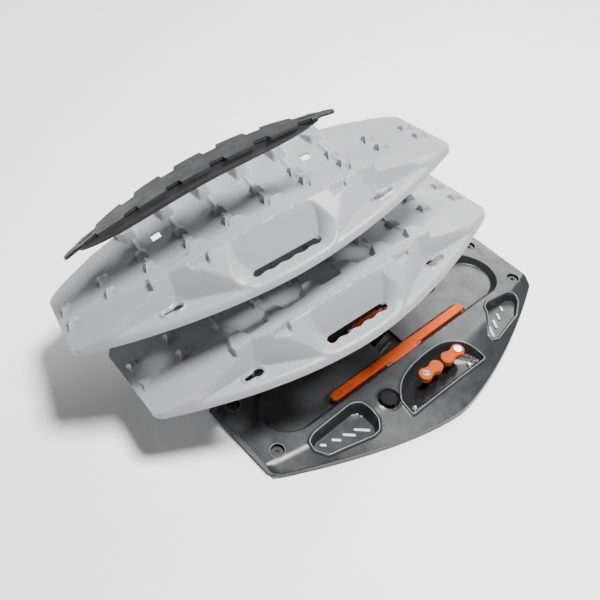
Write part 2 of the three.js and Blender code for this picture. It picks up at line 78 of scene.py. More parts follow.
# ---- materials --------------------------------------------------------------------------------
def shader(name, color, roughness, metallic=0.0, spread=0.06, rough_spread=0.08,
           grain=900.0, bump=0.04, coat=0.0, scuff=0.0, scuff_color=None, specular=0.5):
    """A moulded or plated surface: mottled colour, uneven gloss, fine grain and light scuffs."""
    material = bpy.data.materials.new(name)
    material.use_nodes = True
    nodes = material.node_tree.nodes
    links = material.node_tree.links
    bsdf = nodes["Principled BSDF"]
    bsdf.inputs["Metallic"].default_value = metallic
    bsdf.inputs["Coat Weight"].default_value = coat
    bsdf.inputs["Coat Roughness"].default_value = 0.08
    bsdf.inputs["Specular IOR Level"].default_value = specular
    coords = nodes.new("ShaderNodeTexCoord")

    def noise(scale, detail, rough=0.5):
        node = nodes.new("ShaderNodeTexNoise")
        node.inputs["Scale"].default_value = scale
        node.inputs["Detail"].default_value = detail
        node.inputs["Roughness"].default_value = rough
        links.new(coords.outputs["Object"], node.inputs["Vector"])
        return node

    def ramp(source, low, high, start, end):
        node = nodes.new("ShaderNodeMapRange")
        node.inputs["From Min"].default_value = start
        node.inputs["From Max"].default_value = end
        node.inputs["To Min"].default_value = low
        node.inputs["To Max"].default_value = high
        links.new(source, node.inputs["Value"])
        return node.outputs["Result"]

    broad = noise(9.0, 4.0)
    tint = nodes.new("ShaderNodeMix")
    tint.data_type = "RGBA"
    tint.inputs["A"].default_value = (*[c * (1 - spread) for c in color], 1)
    tint.inputs["B"].default_value = (*[min(c * (1 + spread), 1) for c in color], 1)
    links.new(ramp(broad.outputs["Fac"], 0.0, 1.0, 0.3, 0.7), tint.inputs["Factor"])
    result = tint.outputs["Result"]
    if scuff:
        streaks = noise(60.0, 8.0, 0.75)
        worn = nodes.new("ShaderNodeMix")
        worn.data_type = "RGBA"
        worn.inputs["B"].default_value = (*(scuff_color or color), 1)
        links.new(result, worn.inputs["A"])
        links.new(ramp(streaks.outputs["Fac"], 0.0, scuff, 0.58, 0.78), worn.inputs["Factor"])
        result = worn.outputs["Result"]
    links.new(result, bsdf.inputs["Base Color"])
    gloss = noise(35.0, 5.0, 0.6)
    links.new(ramp(gloss.outputs["Fac"], roughness - rough_spread, roughness + rough_spread, 0.3, 0.7),
              bsdf.inputs["Roughness"])
    fine = noise(grain, 3.0, 0.6)
    height = nodes.new("ShaderNodeBump")
    height.inputs["Strength"].default_value = bump
    height.inputs["Distance"].default_value = 0.0006
    links.new(fine.outputs["Fac"], height.inputs["Height"])
    links.new(height.outputs["Normal"], bsdf.inputs["Normal"])
    return material


BOARD_MAT = shader("board_moulding", (0.285, 0.287, 0.298), 0.42, spread=0.03, grain=1100, bump=0.10,
                   scuff=0.15, scuff_color=(0.21, 0.212, 0.22))
TRAY_MAT = shader("tray_moulding", (0.018, 0.0187, 0.0198), 0.34, spread=0.10, grain=1300, bump=0.10,
                  scuff=0.12, scuff_color=(0.032, 0.033, 0.035))
BLACK_MAT = shader("black_moulding", (0.012, 0.012, 0.013), 0.42, spread=0.15, grain=1400, bump=0.10)
GLOSS_MAT = shader("gloss_black", (0.008, 0.008, 0.009), 0.14, spread=0.1, rough_spread=0.05,
                   grain=500, bump=0.01, coat=0.6)
KNOB_MAT = shader("orange_knob", (0.34, 0.052, 0.0003), 0.5, spread=0.05, grain=1200, bump=0.05,
                  specular=0.2)
ORANGE_MAT = shader("orange_moulding", (0.47, 0.056, 0.0003), 0.5, spread=0.05, grain=1200, bump=0.06,
                    specular=0.15)
CHROME_MAT = shader("bright_plate", (0.82, 0.83, 0.85), 0.14, metallic=1.0, spread=0.03,
                    rough_spread=0.05, grain=2000, bump=0.03)
PLATE_MAT = shader("plate_moulding", (0.013, 0.0135, 0.0145), 0.45, spread=0.08, grain=1200, bump=0.12,
                   scuff=0.2, scuff_color=(0.03, 0.031, 0.032))
# Light grey for the raised rim beads on the tray: a painted highlight along the edges of the pockets, lock
# bay, corner holes and bar grooves.
RIM_HIGHLIGHT_MAT = shader("rim_painted_highlight", (0.13, 0.132, 0.136), 0.3, spread=0.06, grain=1100, bump=0.05)
# Pale grey for the pocket strips: painted light, standing in for the lit floor showing through slots in the
# pocket floors.
SLOT_LIGHT_MAT = shader("slot_painted_light", (0.55, 0.55, 0.56), 0.35, spread=0.03, grain=1100, bump=0.05)
RUBBER_MAT = shader("rubber", (0.014, 0.014, 0.014), 0.75, spread=0.2, grain=1500, bump=0.2)


# ---- placing and building ---------------------------------------------------------------------
def about(joint, degrees):
    """The turn of a fan joint by so many degrees, in the row frame."""
    pivot = Vector(JOINTS[joint]["pos_m"])
    turn = Matrix.Rotation(math.radians(degrees), 4, Vector(JOINTS[joint]["axis"]))
    return Matrix.Translation(pivot) @ turn @ Matrix.Translation(-pivot)


def fan_frames():
    """Where each raised piece stands at rest."""
    frames = {"base": Matrix.Identity(4)}
    current = Matrix.Identity(4)
    for joint, body, degrees, rise in FAN:
        current = about(joint, degrees) @ current @ Matrix.Translation((0, 0, rise * MM))
        frames[body] = current.copy()
    return frames


PLACE = fan_frames()


def mesh_object(name, verts, faces, material, smooth=True):
    mesh = bpy.data.meshes.new(name)
    mesh.from_pydata([tuple(v) for v in verts], [], faces)
    mesh.validate()
    mesh.update()
    thing = bpy.data.objects.new(name, mesh)
    bpy.context.scene.collection.objects.link(thing)
    mesh.materials.append(material)
    if smooth:
        mesh.shade_smooth()
    return thing


def sheet_object(name, xs, ys, top, bottom, material):
    """A closed sheet on a grid: xs is a column array, ys the matching 2-D array of rows."""
    nu, nv = ys.shape
    grid_x = np.repeat(xs[:, None], nv, axis=1)
    upper = np.stack([grid_x, ys, top], axis=-1).reshape(-1, 3)
    lower = np.stack([grid_x, ys, bottom], axis=-1).reshape(-1, 3)
    verts = np.concatenate([upper, lower]) * MM
    count = nu * nv
    i, j = np.meshgrid(np.arange(nu - 1), np.arange(nv - 1), indexing="ij")
    a = (i * nv + j).ravel()
    quads = [np.stack([a, a + nv, a + nv + 1, a + 1], axis=-1),
             np.stack([a + 1, a + nv + 1, a + nv, a], axis=-1) + count]
    index = np.arange(count).reshape(nu, nv)
    loop = np.concatenate([index[:, 0], index[-1, 1:], index[-2::-1, -1], index[0, -2:0:-1]])
    after = np.roll(loop, -1)
    quads.append(np.stack([loop, loop + count, after + count, after], axis=-1))
    faces = np.concatenate(quads)
    mesh = bpy.data.meshes.new(name)
    mesh.vertices.add(len(verts))
    mesh.vertices.foreach_set("co", verts.ravel())
    mesh.loops.add(faces.size)
    mesh.loops.foreach_set("vertex_index", faces.ravel())
    mesh.polygons.add(len(faces))
    mesh.polygons.foreach_set("loop_start", np.arange(len(faces)) * 4)
    mesh.polygons.foreach_set("loop_total", np.full(len(faces), 4))
    mesh.update()
    mesh.validate()
    mesh.shade_smooth()
    mesh.materials.append(material)
    thing = bpy.data.objects.new(name, mesh)
    bpy.context.scene.collection.objects.link(thing)
    return thing


def prism_object(name, outline, low, high, material, bevel=0.0, segments=3):
    """An outline in millimetres raised from low to high, its edges rounded by bevel."""
    bm = bmesh.new()
    ring = [bm.verts.new((x * MM, y * MM, low * MM)) for x, y in outline]
    face = bm.faces.new(ring)
    raised = bmesh.ops.extrude_face_region(bm, geom=[face])
    lifted = [v for v in raised["geom"] if isinstance(v, bmesh.types.BMVert)]
    bmesh.ops.translate(bm, verts=lifted, vec=(0, 0, (high - low) * MM))
    bmesh.ops.recalc_face_normals(bm, faces=bm.faces)
    if bevel:
        rim = [e for e in bm.edges if abs(e.verts[0].co.z - e.verts[1].co.z) < 1e-7]
        bmesh.ops.bevel(bm, geom=rim, offset=bevel * MM, segments=segments, affect="EDGES", profile=0.5)
    mesh = bpy.data.meshes.new(name)
    bm.to_mesh(mesh)
    bm.free()
    mesh.materials.append(material)
    thing = bpy.data.objects.new(name, mesh)
    bpy.context.scene.collection.objects.link(thing)
    mesh.shade_smooth()
    mesh.set_sharp_from_angle(angle=math.radians(35))
    return thing


def circle(x, y, radius, count=48, start=0.0, sweep=math.tau):
    """Points round a circle, or along an arc of it with both ends included."""
    steps = count if sweep >= math.tau else count + 1
    angles = [start + sweep * i / count for i in range(steps)]
    return [(x + radius * math.cos(angle), y + radius * math.sin(angle)) for angle in angles]


def slot_outline(x, y, half, radius, count=16):
    """A slot with round ends, lying along X."""
    right = circle(x + half - radius, y, radius, count, -math.pi / 2, math.pi)
    left = circle(x - half + radius, y, radius, count, math.pi / 2, math.pi)
    return right + left


def cut(target, cutter):
    """Subtracts the cutter from target and removes it."""
    modifier = target.modifiers.new("cut", "BOOLEAN")
    modifier.operation = "DIFFERENCE"
    modifier.solver = "MANIFOLD"
    modifier.object = cutter
    apply_modifiers(target)
    bpy.data.objects.remove(cutter)


def cut_outline(target, outline, low, high):
    """Cuts an upright prism of this outline out of target."""
    cut(target, prism_object("cutter", outline, low, high, target.data.materials[0]))


def apply_modifiers(thing):
    graph = bpy.context.evaluated_depsgraph_get()
    mesh = bpy.data.meshes.new_from_object(thing.evaluated_get(graph))
    old = thing.data
    thing.modifiers.clear()
    thing.data = mesh
    bpy.data.meshes.remove(old)


def join(things):
    """One object of several, their shells kept as they are."""
    bm = bmesh.new()
    for thing in things:
        start = len(bm.verts)
        bm.from_mesh(thing.data)
        bm.verts.ensure_lookup_table()
        fresh = bm.verts[start:]
        bmesh.ops.transform(bm, matrix=thing.matrix_basis, verts=fresh)
    first = things[0]
    bm.to_mesh(first.data)
    bm.free()
    first.matrix_basis = Matrix.Identity(4)
    for thing in things[1:]:
        bpy.data.objects.remove(thing)
    return first


# ---- smooth arithmetic on height fields -------------------------------------------------------
def smin(a, b, k=1.5):
    """The lower of two heights, blended over a width k where they meet."""
    h = np.clip(0.5 + 0.5 * (b - a) / k, 0, 1)
    return b * (1 - h) + a * h - k * h * (1 - h)


def smax(a, b, k=1.5):
    """The higher of two heights, blended over a width k where they meet."""
    return -smin(-a, -b, k)


def quarter_round(distance, width):
    """Rises from 0 at the edge to 1 at this width along a quarter circle."""
    t = np.clip(distance / width, 0, 1)
    return np.sqrt(np.clip(1 - (1 - t) ** 2, 0, 1))


def outline_distance(x, y, outline):
    """Signed distance from each point to a closed outline, positive inside."""
    best = np.full(x.shape, 1e9)
    inside = np.zeros(x.shape, bool)
    for (ax, ay), (bx, by) in zip(outline, outline[1:] + outline[:1]):
        dx, dy = bx - ax, by - ay
        length = dx * dx + dy * dy
        if length < 1e-12:
            continue
        t = np.clip(((x - ax) * dx + (y - ay) * dy) / length, 0, 1)
        best = np.minimum(best, np.hypot(x - ax - t * dx, y - ay - t * dy))
        crosses = (ay > y) != (by > y)
        if abs(dy) > 1e-12:
            inside ^= crosses & (x < dx * (y - ay) / dy + ax)
    return np.where(inside, best, -best)


def packed_columns(half, count, share):
    """Stations from -half to half, closer together toward the ends."""
    t = np.linspace(-1, 1, count)
    return half * np.sin(t * math.pi / 2 * share) / math.sin(math.pi / 2 * share)


def lens_grid(rim, corner, nu, nv):
    """Columns packed toward the ends, and rows that follow the rim and round the corners."""
    xs = packed_columns(HALF, nu, 0.985)
    edge = HALF - np.abs(xs)
    rounding = corner * (1 - quarter_round(edge, corner))
    half_width = rim(xs) - rounding
    v = np.linspace(-1, 1, nv)
    rows = v[None, :] * half_width[:, None]
    return xs, rows, half_width


# ---- traction board ---------------------------------------------------------------------------
KEY_X, KEY_Y, KEY_ROUND, KEY_SLIM, KEY_TAIL = 186, 132, 9.8, 6.0, 20
BOARD_WALL = 5.0
TRIM = 0.996  # keeps the smooth rim inside the faceted one
BOARD_CORNER = 14.0
RIM_DROP = 5
LIP_RISE = 21
LIP_ROUND = 15
FLANGE_RISE = 11
FLANGE_ROUND = 13
SHOULDER_SLOPE, SHOULDER_START = 1.1, 12
CREST_HEIGHT, CREST_FALL, CREST_END_X = 68, 50, 206
RAMP_TOP = 40
NO_RAMP = 200.0  # above every other height, where the end ramp plays no part
TEETH = {"tip_y": 73, "root_y": 98, "tip_half": 9, "root_half": 19, "wall_slope": 3.6}
LANE_END_X, LANE_OPEN_Y = CREST_END_X + 0.5, 260
RIB_HEIGHT, RIB_WIDTH, RIB_REACH = 3.2, 3.0, 74
HANDLE_BACK = {"slope": 3.3, "y": 149.5}
HANDLE_CHEEK = {"x": 60, "from_y": 129, "run": 44, "least": 5, "flare": 34}
POCKET_BACK = {"slope": 3.8, "y": 121}
POCKET_SIDE = {"slope": 2.95, "x": 202, "from_y": 110, "lean": 1.72}
OUTER_Y = 100  # recesses lie outside this
LEDGE = {"left": 112, "right": 140, "y": 123, "height": 50, "slope": 3.5}
KEY_BEAD = {"height": 3.6, "out": 2.4, "width": 1.8}
GRIP = {"half": 63, "y": 157, "radius": 9}
WAVE = {"steps": 48, "depth": 1.8, "period": 12}
STUD = {"size": 15.5, "tall": 11.0, "low": 8.5, "low_from": 300, "sink": 0.5}


def board_rim(x):
    return 92 + 102 * (1 - np.abs(x / HALF) ** 1.83)


def lane_outline():
    """The lane in plan: it zigzags round the teeth and opens out beyond the last one."""
    side = []
    tip, root = TEETH["tip_half"], TEETH["root_half"]
    for x in TOOTH_STATIONS:
        side += [(x - root, TEETH["root_y"]), (x - tip, TEETH["tip_y"]),
                 (x + tip, TEETH["tip_y"]), (x + root, TEETH["root_y"])]
    beyond = HALF + 40
    side = ([(-beyond, LANE_OPEN_Y), (-LANE_END_X, LANE_OPEN_Y)] + side
            + [(LANE_END_X, LANE_OPEN_Y), (beyond, LANE_OPEN_Y)])
    return side + [(x, -y) for x, y in reversed(side)]


def key_outline_distance(x, side):
    """Distance outside the keyhole, on the quarter where x and side are positive."""
    round_part = np.hypot(x - KEY_X, side - KEY_Y) - KEY_ROUND
    tail_x = np.clip(x, KEY_X, KEY_X + KEY_TAIL)
    tail = np.hypot(x - tail_x, side - KEY_Y) - KEY_SLIM
    return smin(round_part, tail, 3)


def lane_height(x, side):
    return 35 - 30 * (x / HALF) ** 2 + 14 * (side / 75) ** 2


def end_ramp(distance):
    """The slope at each end of the board, from the last tooth down to the tip."""
    return RAMP_TOP * (HALF - distance) / (HALF - CREST_END_X)


def middle_height(x, y, distance, side):
    """The lane with its ribs, and the toothed crest on each side of it."""
    ramp = np.where(distance > CREST_END_X, end_ramp(distance), NO_RAMP)
    lane_in = outline_distance(x, y, lane_outline())
    floor = smin(lane_height(x, side), ramp, 4)
    for station in TOOTH_STATIONS:
        rib = RIB_HEIGHT * np.exp(-((x - station) / RIB_WIDTH) ** 2) * np.clip(lane_in / 6, 0, 1)
        floor = floor + rib * (side < RIB_REACH)
    crest = smin(CREST_HEIGHT - CREST_FALL * (x / HALF) ** 2, ramp, 4)
    middle = smax(floor, crest - TEETH["wall_slope"] * np.clip(lane_in, 0, None), 1.5)
    return np.where(lane_in < -4, crest, middle)


def handle_height(z, flange, distance, side):
    """The handle recess: a steep back wall and two cheeks that flare toward the rim."""
    back = HANDLE_BACK["slope"] * (HANDLE_BACK["y"] - side)
    run = np.clip((side - HANDLE_CHEEK["from_y"]) / HANDLE_CHEEK["run"], 0, 1.1)
    flare = HANDLE_CHEEK["least"] + HANDLE_CHEEK["flare"] * run ** 0.6
    spread = (distance - HANDLE_CHEEK["x"]) / flare
    cheek = np.where(spread > 0, np.maximum(z - flange, 6) * np.clip(spread, 0, None), 40 * spread)
    return flange + np.clip(smax(back, cheek, 1.0), 0, None)


def pocket_height(flange, distance, side):
    """The end pockets: a back wall toward the lane and a slanted side toward the handle."""
    lean = POCKET_SIDE["lean"]
    back = POCKET_BACK["slope"] * (POCKET_BACK["y"] - side)
    reach = POCKET_SIDE["x"] - (side - POCKET_SIDE["from_y"]) * lean - distance
    inner = POCKET_SIDE["slope"] * reach / math.hypot(1, lean)
    return flange + np.clip(smax(back, inner, 1.0), 0, None)


def board_height(x, y, half_width):
    """Height of the board's upper face."""
    distance = np.abs(x)
    side = np.abs(y)
    inset = np.minimum(half_width - side, HALF - distance + 2)
    lip = -RIM_DROP + LIP_RISE * quarter_round(inset, LIP_ROUND)
    shoulder = lip + SHOULDER_SLOPE * np.clip(inset - SHOULDER_START, 0, None)
    z = smin(shoulder, middle_height(x, y, distance, side), 2.0)
    flange = -RIM_DROP + FLANGE_RISE * quarter_round(inset, FLANGE_ROUND)
    handle = handle_height(z, flange, distance, side)
    pocket = pocket_height(flange, distance, side)
    outer = side > OUTER_Y
    z = np.where(outer, smin(z, handle, 0.9), z)
    z = np.where(outer, smin(z, pocket, 0.9), z)
    ledge_out = np.maximum(np.maximum(LEDGE["left"] - distance, distance - LEDGE["right"]), LEDGE["y"] - side)
    ledge = LEDGE["height"] + LEDGE["slope"] * np.clip(ledge_out, 0, None)
    z = np.where(outer, smin(z, ledge, 0.8), z)
    key = key_outline_distance(distance, side)
    return z + KEY_BEAD["height"] * np.exp(-((key - KEY_BEAD["out"]) / KEY_BEAD["width"]) ** 2)


def star_stud(x, y):
    """A four-pointed concave stud on the lane, tapering to a flat top."""
    level = lane_height(x, y)
    level = min(level, end_ramp(abs(x))) if abs(x) > CREST_END_X else level
    z = level - STUD["sink"]
    size = STUD["size"]
    height = STUD["tall"] if abs(x) < STUD["low_from"] else STUD["low"]
    corners = 8
    points = []
    for i in range(corners):
        radius = size if i % 2 == 0 else size * 0.50
        angle = math.pi / 4 * i + math.pi / 4
        points.append((radius * math.cos(angle), radius * math.sin(angle)))
    rings = ((1.12, -5.0), (1.0, 1.0), (0.62, height - 1), (0.50, height))
    verts, faces = [], []
    for scale, rise in rings:
        verts += [((x + px * scale) * MM, (y + py * scale) * MM, (z + rise) * MM) for px, py in points]
    for ring in range(len(rings) - 1):
        for i in range(corners):
            j = (i + 1) % corners
            a, b = ring * corners, (ring + 1) * corners
            faces.append((a + i, a + j, b + j, b + i))
    faces.append(tuple(range(len(verts) - corners, len(verts))))
    faces.append(tuple(reversed(range(corners))))
    return mesh_object("stud", verts, faces, BOARD_MAT, smooth=False)


def grip_outline(side):
    """The grip slot: round ends, a plain edge toward the lane and a wavy one toward the rim."""
    straight = GRIP["half"] - GRIP["radius"]
    y = GRIP["y"] * side
    steps = WAVE["steps"]
    left = circle(-straight, y, GRIP["radius"], 12, math.pi / 2, math.pi)
    right = circle(straight, y, GRIP["radius"], 12, -math.pi / 2, math.pi)

    def wave(i):
        return WAVE["depth"] * (1 - math.cos(math.tau * i / WAVE["period"]))

    low = [(-straight + 2 * straight * i / steps, y - GRIP["radius"] + (wave(i) if side < 0 else 0))
           for i in range(1, steps)]
    high = [(straight - 2 * straight * i / steps, y + GRIP["radius"] - (wave(i) if side > 0 else 0))
            for i in range(1, steps)]
    return left + low + right + high


def cut_board(board):
    for side in (-1, 1):
        cut_outline(board, grip_outline(side), -40, 100)
        for end in (-1, 1):
            centre, level = end * KEY_X, KEY_Y * side
            tail = slot_outline(centre + end * KEY_TAIL / 2, level, KEY_TAIL / 2 + KEY_SLIM, KEY_SLIM, 10)
            cut_outline(board, circle(centre, level, KEY_ROUND, 28), -40, 99)
            cut_outline(board, tail, -40, 98)
    for x in LANE_HOLE_XS:
        square = [(x + LANE_HOLE_HALF * a, LANE_HOLE_Y + LANE_HOLE_HALF * b)
                  for a, b in ((-1, -1), (1, -1), (1, 1), (-1, 1))]
        cut_outline(board, square, -40, 97)


def build_board():
    nu, nv = ((440, 250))
    xs, rows, half_width = lens_grid(board_rim, BOARD_CORNER, nu, nv)
    grid_x = np.repeat(xs[:, None], nv, axis=1)
    rows = rows * TRIM
    widths = np.repeat(half_width[:, None], nv, axis=1) * TRIM
    top = board_height(grid_x, rows, widths)
    board = sheet_object("board_mould", xs, rows, top, top - BOARD_WALL + 1.0, BOARD_MAT)
    cut_board(board)
    board = join([board] + [star_stud(x, y) for x in STUD_STATIONS for y in STUD_ROWS])
    board.data.set_sharp_from_angle(angle=math.radians(38))
    return board


def add_boards():
    board = build_board()
    for body, node, name in (("lower_board", "board_lower", "Traction_board_lower"),
                             ("upper_board", "board_upper", "Traction_board_upper")):
        copy = bpy.data.objects.new(name, board.data.copy())
        copy.data.transform(PLACE[body])
        bpy.context.scene.collection.objects.link(copy)
        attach(copy, body)
        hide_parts(node)
    bpy.data.objects.remove(board)


# ---- carrier base -----------------------------------------------------------------------------
BASE_CORNER = 16.0
BASE_END_HALF, BASE_BULGE, BASE_RIM_POWER = 88, 120, 1.52
RIM_TOP = 12
RIDGE_END_Y, RIDGE_BULGE, RIDGE_RISE, RIDGE_FADE = 68, 54, 12, 130
EDGE_LOW, EDGE_ROUND, EDGE_WIDTH, EDGE_SLOPE = 4.4, 9, 5, 3
TROUGH = {"half": 310, "half_width": 62, "floor": 13.0, "steep": 1.8}
POCKET_FLOOR = 11.0
BAY_FLOOR = 9.3
PORT_FLOOR = 18.3
GROOVE_HALF, GROOVE_WIDTH, GROOVE_BEAD_X = 186, 12.5, 240
OPENING = [(-27, -25), (27, -25), (27, 25), (-27, 25)]
LONG_POCKET = [
    (-276, 86), (-262, 79), (-168, 76), (-152, 84), (-148, 100), (-149, 128), (-160, 142), (-175, 143),
    (-262, 120), (-277, 100)]
SHORT_POCKET = [
    (-290, 92), (-278, 81), (-220, 74), (-207, 80), (-201, 92), (-164, 130), (-164, 140), (-176, 143),
    (-256, 126), (-286, 106)]
BACKING = {"half": 358.5, "inset": 1.2, "thick": 4.0}


def base_rim(x):
    return BASE_END_HALF + BASE_BULGE * (1 - np.abs(x / HALF) ** BASE_RIM_POWER)


def base_pocket(end, side):
    """One pocket's outline: the long shape on one diagonal of the base, the short one on the other."""
    outline = LONG_POCKET if end * side > 0 else SHORT_POCKET
    return [(-end * x, side * y) for x, y in outline]


def bay_outline(inset=0.0):
    """The half-moon bay: straight toward the rim, arched toward the middle."""
    left, right = -88 + inset, 116 - inset
    flat, top = -158 + inset, -84 - inset
    points = [(left, flat), (right, flat)]
    curves = (((right, flat), (right - 6, top - 12), (right - 46, top), (right - 76, top)),
              ((right - 76, top), (left + 56, top), (left + 22, top - 12), (left, flat + 30)))
    for p0, p1, p2, p3 in curves:
        for i in range(1, 17):
            t = i / 16
            s = 1 - t
            points.append(tuple(s ** 3 * a + 3 * s * s * t * b + 3 * s * t * t * c + t ** 3 * d
                                for a, b, c, d in zip(p0, p1, p2, p3)))
    return points


def sink(x, y, z, outline, floor, bead, steep=3.2):
    """Sinks a steep-walled recess into a surface, with a low bead round its edge."""
    inward = outline_distance(x, y, outline)
    walls = z - steep * np.clip(inward, 0, None)
    lowered = np.where(inward > 0, np.minimum(smax(walls, floor, 1.5), z), z)
    return lowered + bead * np.exp(-((inward + 1.6) / 1.5) ** 2)


def base_height(x, y, half_width):
    """Height of the tray's upper face."""
    distance = np.abs(x)
    side = np.abs(y)
    ridge = RIDGE_END_Y + RIDGE_BULGE * (1 - (x / HALF) ** 2)
    fade = np.clip((HALF - distance) / RIDGE_FADE, 0, 1)
    crown = DECK + RIDGE_RISE * fade * fade * (3 - 2 * fade)
    rim = np.maximum(half_width, ridge + 2)
    slope = crown + (RIM_TOP - crown) * (side - ridge) / (rim - ridge)
    z = smin(crown, slope, 3)
    inset = np.minimum(half_width - side, HALF - distance + 1)
    edge = EDGE_LOW + EDGE_ROUND * quarter_round(inset, EDGE_WIDTH) + EDGE_SLOPE * np.clip(inset, 0, None)
    z = smin(z, edge, 1.5)
    trough = slot_outline(0, 0, TROUGH["half"], TROUGH["half_width"], 24)
    z = sink(x, y, z, trough, TROUGH["floor"], 0.0, TROUGH["steep"])
    for end in (-1, 1):
        for flank in (-1, 1):
            z = sink(x, y, z, base_pocket(end, flank), POCKET_FLOOR, 2.0)
    z = sink(x, y, z, bay_outline(), BAY_FLOOR, 2.2, 3.4)
    port = PORT_RECESS - np.hypot(x - PORT_X, y - PORT_Y)
    cup = smax(z - 3.0 * np.clip(port, 0, None), PORT_FLOOR, 1.0)
    return np.where(port > 0, np.minimum(cup, z), z) + 1.0 * np.exp(-((port + 1.5) / 1.5) ** 2)


def bar_groove(side):
    """The slot each latch bar lies in."""
    return slot_outline(0, side * BAR_Y, GROOVE_HALF, GROOVE_WIDTH, 14)


def build_tray():
    nu, nv = ((460, 250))
    xs, rows, half_width = lens_grid(base_rim, BASE_CORNER, nu, nv)
    grid_x = np.repeat(xs[:, None], nv, axis=1)
    widths = np.repeat(half_width[:, None], nv, axis=1)
    top = base_height(grid_x, rows, widths)
    for side in (-1, 1):
        inward = outline_distance(grid_x, rows, bar_groove(side))
        top = top + 2.2 * np.exp(-((inward + 1.6) / 1.6) ** 2) * (np.abs(grid_x) < GROOVE_BEAD_X)
    tray = sheet_object("Carrier_base_tray", xs, rows, top, np.full_like(top, TRAY_FLOOR), TRAY_MAT)
    cut_outline(tray, OPENING, -10, 70)
    for x, y in BOLT_PLACES:
        cut_outline(tray, circle(x, y, COUNTERBORE, 40), 12, 70)
        cut_outline(tray, circle(x, y, BOLT_HOLE, 24), -10, 71)
    for x in KNOB_XS:
        cut_outline(tray, circle(x, KNOB_Y, POST_HOLE, 32), -10, 72)
    cut_outline(tray, circle(PORT_X, PORT_Y, PORT_HOLE, 32), -10, 73)
    tray.data.set_sharp_from_angle(angle=math.radians(36))
    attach(tray, "base")
    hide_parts("base_tray")


def bead_object(outline, radius, lift=0.4):
    """A thin raised line that follows a closed outline over the tray's surface."""
    ring, sides = np.array(outline, float), 8
    steps = np.linalg.norm(np.roll(ring, -1, axis=0) - ring, axis=1)
    along = np.concatenate([[0], np.cumsum(steps)])
    count = int(along[-1] / 2.5)
    place = np.arange(count) * along[-1] / count
    closed = np.vstack([ring, ring[:1]])
    path = np.stack([np.interp(place, along, closed[:, 0]), np.interp(place, along, closed[:, 1])], axis=-1)
    for _ in range(3):
        path = (np.roll(path, 1, axis=0) + 2 * path + np.roll(path, -1, axis=0)) / 4
    ahead = np.roll(path, -1, axis=0) - np.roll(path, 1, axis=0)
    across = np.stack([ahead[:, 1], -ahead[:, 0]], axis=-1) / np.linalg.norm(ahead, axis=1)[:, None]
    area = np.sum(ring[:, 0] * np.roll(ring[:, 1], -1) - np.roll(ring[:, 0], -1) * ring[:, 1])
    across = across * np.sign(area)
    path = path + across * radius
    height = base_height(path[:, 0], path[:, 1], base_rim(path[:, 0])) + lift - radius * 0.5
    verts, faces = [], []
    for (x, y), z, (ax, ay) in zip(path, height, across):
        for i in range(sides):
            angle = math.tau * i / sides
            out = radius * math.cos(angle)
            verts.append(((x + ax * out) * MM, (y + ay * out) * MM, (z + radius * math.sin(angle)) * MM))
    for i in range(count):
        for j in range(sides):
            a, b = i * sides, (i + 1) % count * sides
            k = (j + 1) % sides
            faces.append((a + j, b + j, b + k, a + k))
    # The bead shape is real; its pale material is a painted highlight on the edge it follows.
    bead = mesh_object("bead", verts, faces, RIM_HIGHLIGHT_MAT)
    bm = bmesh.new()
    bm.from_mesh(bead.data)
    bmesh.ops.recalc_face_normals(bm, faces=bm.faces)
    bm.to_mesh(bead.data)
    bm.free()
    return bead


def add_rim_highlight_lines():
    """Raised beads round the pockets, the lock bay, the corner holes and the bar grooves, coloured pale as a
    painted highlight along those edges.
    """
    lines = [bead_object(base_pocket(end, flank), 1.3) for end in (-1, 1) for flank in (-1, 1)]
    lines.append(bead_object(bay_outline(), 1.3))
    lines += [bead_object(circle(x, y, COUNTERBORE, 40), 0.9) for x, y in BOLT_PLACES]
    lines += [bead_object(bar_groove(side), 0.9) for side in (-1, 1)]
    lines = join(lines)
    lines.name = "Rim_highlight_lines"
    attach(lines, "base")


def add_pocket_slot_light():
    """Short pale strips across the floor of every pocket, shorter toward its narrow end: painted light
    standing in for the lit floor seen through slots in the pocket floor.
    """
    strips = []
    for end in (-1, 1):
        for flank in (-1, 1):
            long = end * flank > 0
            for i in range(4):
                along = 178 + 25 * i if long else 186 + 21 * i
                out = 119 - 7.0 * i if long else 121 - 8.5 * i
                half = 15 - 3.0 * i if long else 13 - 2.2 * i
                lean = math.radians(-42 if long else 60)
                outline = slot_outline(0, 0, half, 2.6, 8)
                strip = prism_object("strip", outline, 0.0, 1.8, SLOT_LIGHT_MAT, bevel=0.7)
                place = Matrix.Translation((along * end * MM, out * flank * MM, (POCKET_FLOOR + 0.5) * MM))
                strip.data.transform(place @ Matrix.Rotation(lean, 4, "Z"))
                strips.append(strip)
    strips = join(strips)
    strips.name = "Pocket_slot_light_strips"
    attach(strips, "base")


def add_backing():
    xs = [BACKING["half"] * math.sin(math.pi / 2 * i / 60) for i in range(-60, 61)]
    near = [(x, -float(base_rim(np.array(x))) + BACKING["inset"]) for x in xs]
    far = [(x, -y) for x, y in reversed(near)]
    plate = prism_object("Backing_plate", near + far, 0, BACKING["thick"], BLACK_MAT, bevel=0.6, segments=2)
    for x, y in BOLT_PLACES:
        cut_outline(plate, circle(x, y, BOLT_HOLE, 24), -10, 31)
    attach(plate, "base")
    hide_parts("backing_plate")


# ---- fittings ---------------------------------------------------------------------------------
KNOB = {"half": 14.5, "lobe": 13.5, "lean": 0.36, "waist": 7, "low": 33, "high": 47}
KEY_HOLE, KEY_HOLE_FLOOR = 7.8, 38
SPIGOT_HOLE, SPIGOT_TOP = 4.3, 37
PANEL_INSET, PANEL_THICK = 5.0, 3.0
BAR = {"half": 181, "low": 16.5, "high": 26.5, "step_half": 38, "step_flat": 33}
PIN_HOLE = 3.3


